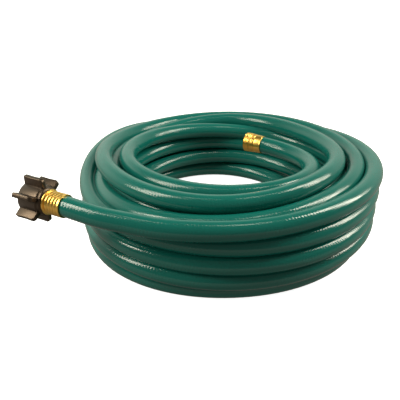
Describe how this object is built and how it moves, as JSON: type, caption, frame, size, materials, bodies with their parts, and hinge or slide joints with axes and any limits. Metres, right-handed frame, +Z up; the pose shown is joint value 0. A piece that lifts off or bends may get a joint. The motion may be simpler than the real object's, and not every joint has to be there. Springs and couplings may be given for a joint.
{
  "type": "garden_hose",
  "caption": "Coiled green garden hose with brass ends: a male threaded coupling inside the coil and a female coupling with a black lugged swivel nut.",
  "frame": {"origin": "middle of the bounding box's base, on the floor that the coil lies on", "axes": "+Z up along the coil's axis, -Y towards the side with the loose end and its swivel nut, +X to the right seen from there"},
  "size_m": [0.429, 0.398, 0.1252],
  "materials": {
    "green_hose": "satin",
    "brass": "polished",
    "black_plastic": "satin",
    "gasket_rubber": "matte"
  },
  "bodies": {
    "hose": {"hose_coil": "green_hose", "hose_lead": "green_hose", "hose_tail": "green_hose", "lead_ferrule": "brass", "lead_stem": "brass", "tail_ferrule": "brass", "male_coupling": "brass"},
    "nut": {"swivel_nut": "black_plastic", "nut_washer": "gasket_rubber"}
  },
  "joints": [
    {"name": "nut_swivel", "type": "hinge", "parent": "hose", "child": "nut", "pos_m": [-0.17828, -0.14029, 0.0998], "axis": [-0.8788, 0.4772, 0], "continuous": true}
  ]
}
